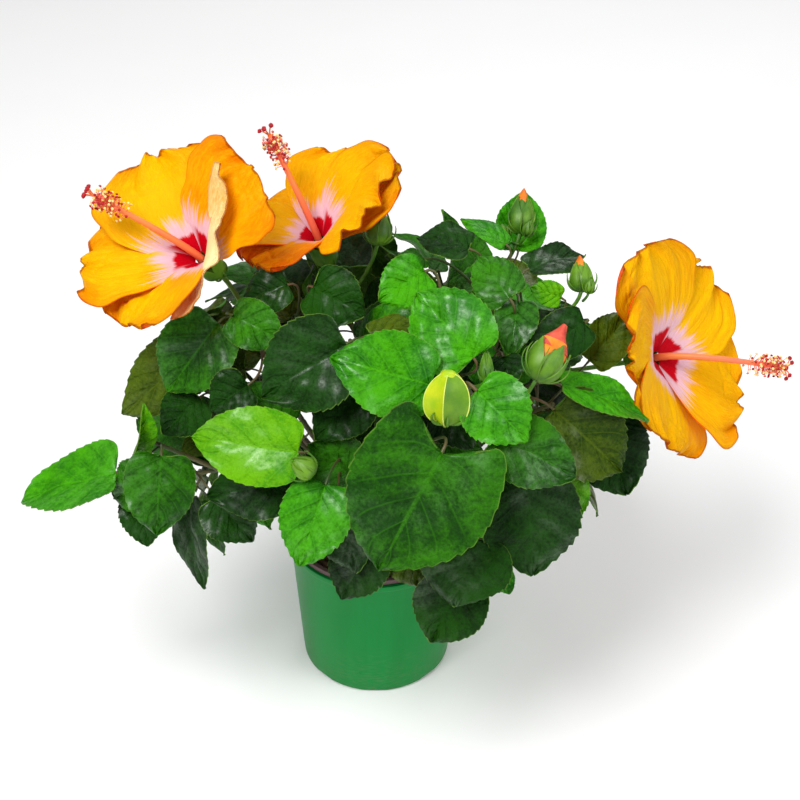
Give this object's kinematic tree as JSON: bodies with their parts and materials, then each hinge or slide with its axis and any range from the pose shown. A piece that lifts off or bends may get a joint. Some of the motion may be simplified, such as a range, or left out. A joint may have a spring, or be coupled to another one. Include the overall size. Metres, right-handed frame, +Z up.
{
  "type": "potted hibiscus shrub",
  "caption": "Bushy flowering shrub in a round plastic pot with an inner pot and compost, broad toothed leaves on long stalks, and large open yellow blooms with long columns.",
  "frame": {"origin": "middle of the pot's flat underside, on the surface that the pot stands on", "axes": "+Z up, +X to the right of the picture, the viewer at -Y"},
  "size_m": [0.5311, 0.3434, 0.4483],
  "materials": {
    "pot": "smooth green plastic with a soft sheen",
    "inner_pot": "thin dull brown plastic",
    "soil": "loose dark bark compost",
    "bark": "thin grey-brown bark, greener towards the tips",
    "foliage": "glossy toothed leaves, dark green to lime",
    "petals": "thin crinkled golden petals, pale at the throat and red at its bottom"
  },
  "bodies": {
    "root": {"pot": "pot", "inner_pot": "inner_pot", "soil": "soil", "trunk": "bark", "bough_left_low": "bark", "bough_left_high": "bark", "bough_left_front": "bark", "bough_top_left": "bark", "bough_mid": "bark", "bough_centre": "bark", "bough_front_left": "bark", "bough_front": "bark", "bough_front_low": "bark", "bough_front_right": "bark", "bough_right": "bark", "bough_right_high": "bark", "bough_top": "bark", "bough_right_back": "bark", "bough_right_low": "bark", "bough_back_right": "bark", "bough_back": "bark", "bough_back_left": "bark", "bough_left_back": "bark", "bough_back_low_left": "bark", "bough_back_low_right": "bark", "mass_left_low": "foliage", "mass_left_high": "foliage", "mass_left_front": "foliage", "mass_top_left": "foliage", "mass_mid": "foliage", "mass_centre": "foliage", "mass_front_left": "foliage", "mass_front": "foliage", "mass_front_low": "foliage", "mass_front_right": "foliage", "mass_right": "foliage", "mass_right_high": "foliage", "mass_top": "foliage", "mass_right_back": "foliage", "mass_right_low": "foliage", "mass_back_right": "foliage", "mass_back": "foliage", "mass_back_left": "foliage", "mass_left_back": "foliage", "mass_back_low_left": "foliage", "mass_back_low_right": "foliage", "bloom_left": "petals", "bloom_top": "petals", "bloom_right": "petals"}
  },
  "joints": []
}
